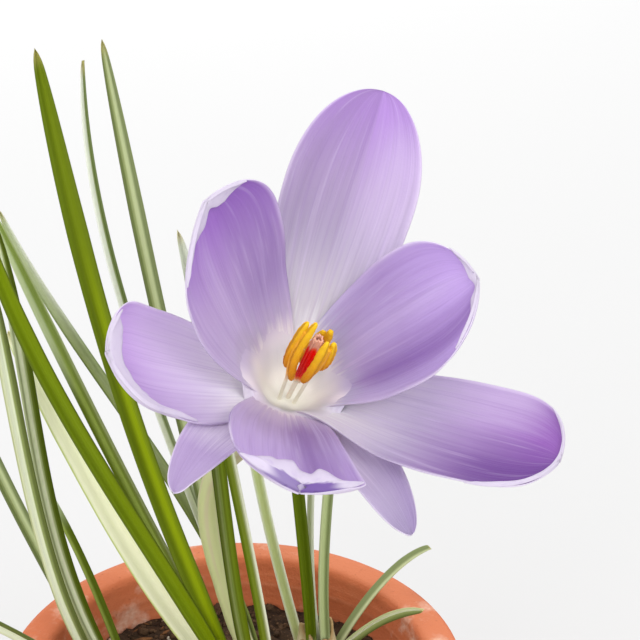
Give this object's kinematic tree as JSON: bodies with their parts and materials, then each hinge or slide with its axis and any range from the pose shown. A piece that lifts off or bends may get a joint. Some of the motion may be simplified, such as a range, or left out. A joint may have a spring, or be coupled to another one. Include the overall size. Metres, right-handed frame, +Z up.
{
  "type": "potted crocus",
  "caption": "Large lilac garden crocus in full bloom among grass-like leaves with pale midribs, growing in a plain round terracotta pot of soil.",
  "frame": {"origin": "centre of the pot's flat underside, on the surface it stands on", "axes": "+Z up; -Y towards the viewer, the side the bloom leans to; +X to the viewer's right"},
  "size_m": [0.1227, 0.1144, 0.221],
  "materials": {
    "terracotta": "unglazed fired clay, fine dry grain, slightly paler rim",
    "soil": "damp crumbly peat-like potting soil",
    "tepal": "thin satin petal, lilac with fine darker veins, fading to a cream throat and a whitish edge",
    "anther": "powdery golden yellow to orange pollen sacs on a pale filament",
    "stigma": "glistening red-orange, paler at the frilled lip",
    "leaf": "smooth satin green blade with a pale central stripe; pale sheath at the foot"
  },
  "bodies": {
    "root": {"pot": "terracotta", "soil": "soil", "bloom": "tepal", "stamen_1": "anther", "stamen_2": "anther", "stamen_3": "anther", "stigma": "stigma", "leaves_main": "leaf", "leaves_left": "leaf", "leaves_back": "leaf"}
  },
  "joints": []
}
